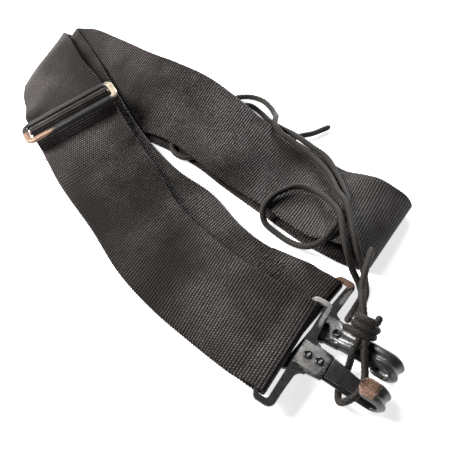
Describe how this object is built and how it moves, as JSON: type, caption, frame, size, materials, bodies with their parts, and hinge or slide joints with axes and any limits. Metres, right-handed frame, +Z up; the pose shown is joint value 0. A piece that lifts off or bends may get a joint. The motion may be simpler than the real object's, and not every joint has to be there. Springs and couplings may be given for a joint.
{
  "type": "webbing carrying strap with snap hooks",
  "caption": "Wide adjustable webbing carrying strap with a riveted leaf-gate snap hook at each end, a three-bar slide and a knotted braided cord, folded and lying down.",
  "frame": {"origin": "middle of the lying strap's footprint, on the surface it lies on; the cord is not counted", "axes": "+Z up from the surface it lies on; +X towards the right-hand fold; +Y from the hooks' side towards the left-hand fold"},
  "size_m": [0.2614, 0.2926, 0.0313],
  "materials": {
    "webbing_nylon": "heavy ribbed nylon webbing, black, slightly faded",
    "black_paint": "semi-gloss black paint, worn through at edges",
    "gate_steel": "blackened spring steel",
    "rivet_steel": "dark domed rivets",
    "slide_steel": "black paint worn to bright metal at both ends",
    "cord_nylon": "round braided cord, dark brown-black",
    "stitch_thread": "black sewing thread"
  },
  "bodies": {
    "strap": {"front_return_run": "webbing_nylon", "near_ring_loop": "webbing_nylon", "front_run": "webbing_nylon", "outer_fold": "webbing_nylon", "back_lower_run": "webbing_nylon", "right_fold": "webbing_nylon", "back_upper_run": "webbing_nylon", "inner_fold": "webbing_nylon", "far_run": "webbing_nylon", "far_ring_loop": "webbing_nylon", "far_sewn_tab": "webbing_nylon", "far_tab_stitching": "stitch_thread", "cord_long": "cord_nylon", "cord_short": "cord_nylon"},
    "near_hook": {"near_hook_body": "black_paint", "near_gate_root": "gate_steel", "near_rivet_inner": "rivet_steel", "near_rivet_outer": "rivet_steel", "cord_knot": "cord_nylon", "cord_hook_loop": "cord_nylon", "cord_tail": "cord_nylon"},
    "near_gate": {"near_gate_leaf": "gate_steel"},
    "far_hook": {"far_hook_body": "black_paint", "far_gate_root": "gate_steel", "far_rivet_inner": "rivet_steel", "far_rivet_outer": "rivet_steel"},
    "far_gate": {"far_gate_leaf": "gate_steel"},
    "slide": {"slide_frame": "slide_steel", "slide_centre_bar": "slide_steel", "slide_thread": "webbing_nylon"}
  },
  "joints": [
    {"name": "near_hook_swing", "type": "hinge", "parent": "strap", "child": "near_hook", "pos_m": [0.04653, -0.11204, 0.01051], "axis": [-0.5528, -0.8325, -0.037], "range_deg": [0, 75]},
    {"name": "near_gate_hinge", "type": "hinge", "parent": "near_hook", "child": "near_gate", "pos_m": [0.06695, -0.12564, 0.0114], "axis": [0.5528, 0.8325, 0.037], "range_deg": [0, 4], "stiffness_Nm_per_rad": 0.12, "springref_deg": -11.46},
    {"name": "far_hook_swing", "type": "hinge", "parent": "strap", "child": "far_hook", "pos_m": [0.05963, -0.09224, 0.00341], "axis": [0.6478, 0.7618, 0], "range_deg": [0, 45]},
    {"name": "far_gate_hinge", "type": "hinge", "parent": "far_hook", "child": "far_gate", "pos_m": [0.0783, -0.10812, 0.00472], "axis": [-0.6478, -0.7618, 0], "range_deg": [0, 17], "stiffness_Nm_per_rad": 0.12, "springref_deg": -2.86},
    {"name": "slide_travel", "type": "slide", "parent": "strap", "child": "slide", "axis": [0.4894, -0.8688, -0.0751], "range_m": [-0.002, 0.012]}
  ]
}
